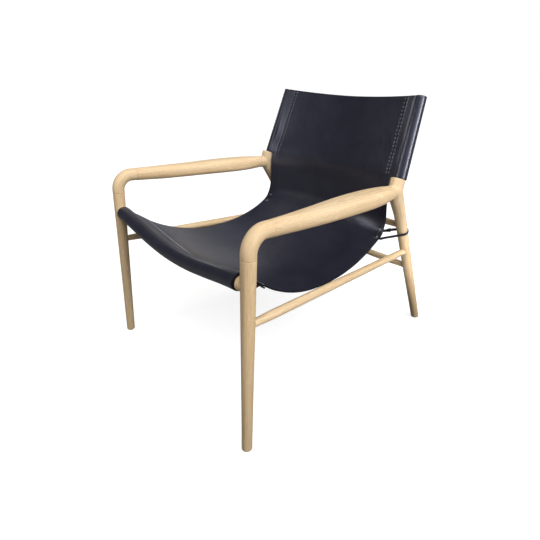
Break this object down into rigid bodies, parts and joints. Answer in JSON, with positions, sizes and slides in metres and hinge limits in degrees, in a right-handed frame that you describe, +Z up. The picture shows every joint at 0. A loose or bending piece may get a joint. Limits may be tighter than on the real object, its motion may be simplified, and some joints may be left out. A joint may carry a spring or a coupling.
{
  "type": "sling lounge chair",
  "caption": "Low lounge chair with a turned oak frame, flared arms and a sheet of dark leather slung from the raked back posts to a curved front rail, laced to the rear legs.",
  "frame": {"origin": "centre of the part's bounding box, at floor level", "axes": "+Z up, -Y the way the sitter faces, +X to the sitter's left"},
  "size_m": [0.7102, 0.8798, 0.7828],
  "materials": {
    "oak": "pale soaped oak, matt, straight grain along each member",
    "leather": "smooth blue-black saddle leather, half gloss",
    "nickel": "dull nickel plate",
    "nylon": "dark moulded nylon"
  },
  "bodies": {
    "root": {"armrest_left": "oak", "armrest_right": "oak", "back_post_left": "oak", "back_post_right": "oak", "dowel_arm_head_1_left": "oak", "dowel_arm_head_1_right": "oak", "dowel_arm_head_2_left": "oak", "dowel_arm_head_2_right": "oak", "dowel_knee_arm_1_left": "oak", "dowel_knee_arm_1_right": "oak", "dowel_knee_arm_2_left": "oak", "dowel_knee_arm_2_right": "oak", "dowel_leg_knee_1_left": "oak", "dowel_leg_knee_1_right": "oak", "dowel_leg_knee_2_left": "oak", "dowel_leg_knee_2_right": "oak", "eyelet_lower_left": "nickel", "eyelet_lower_right": "nickel", "eyelet_upper_left": "nickel", "eyelet_upper_right": "nickel", "front_glide_left": "nylon", "front_glide_right": "nylon", "front_leg_left": "oak", "front_leg_right": "oak", "front_rail": "oak", "knee_block_left": "oak", "knee_block_right": "oak", "lace_left": "leather", "lace_right": "leather", "leather_sling": "leather", "rear_glide_left": "nylon", "rear_glide_right": "nylon", "rear_leg_left": "oak", "rear_leg_right": "oak", "rear_rail_lower": "oak", "rear_rail_upper": "oak", "side_stretcher_left": "oak", "side_stretcher_right": "oak"}
  },
  "joints": []
}
